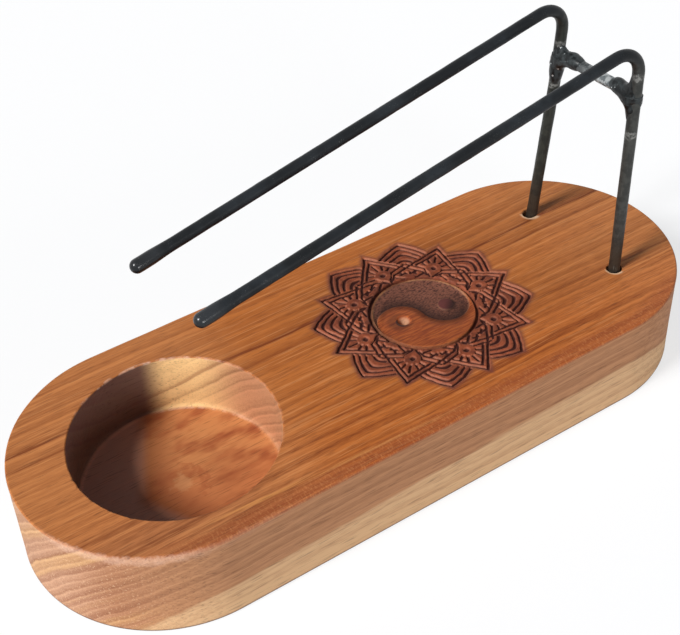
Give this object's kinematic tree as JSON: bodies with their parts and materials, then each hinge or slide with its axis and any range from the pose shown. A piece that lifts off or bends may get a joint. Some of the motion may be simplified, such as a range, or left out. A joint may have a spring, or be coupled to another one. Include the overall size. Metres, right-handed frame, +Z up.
{
  "type": "palo santo burner",
  "caption": "Round-ended wooden block with a carved star mandala and a round ash bowl, and a bent wire holder that stands loose in it and carries a stick out over the bowl.",
  "frame": {"origin": "middle of the block's flat underside", "axes": "+X along the block from the bowl towards the holder's legs, +Y to the left, +Z up"},
  "size_m": [0.185, 0.07, 0.0906],
  "materials": {
    "wood": "oiled, orange brown, with a darkened carving",
    "black_iron": "semi-gloss black",
    "bare_steel": "bare in the middle, scorched towards the welds",
    "weld_metal": "dark, lumpy weld bead"
  },
  "bodies": {
    "base": {"wood_base": "wood"},
    "holder": {"left_rod": "black_iron", "right_rod": "black_iron", "cross_bar": "bare_steel", "left_weld": "weld_metal", "right_weld": "weld_metal"}
  },
  "joints": [
    {"name": "holder_lift", "type": "slide", "parent": "base", "child": "holder", "axis": [0, 0, 1], "range_m": [0, 0.012]}
  ]
}
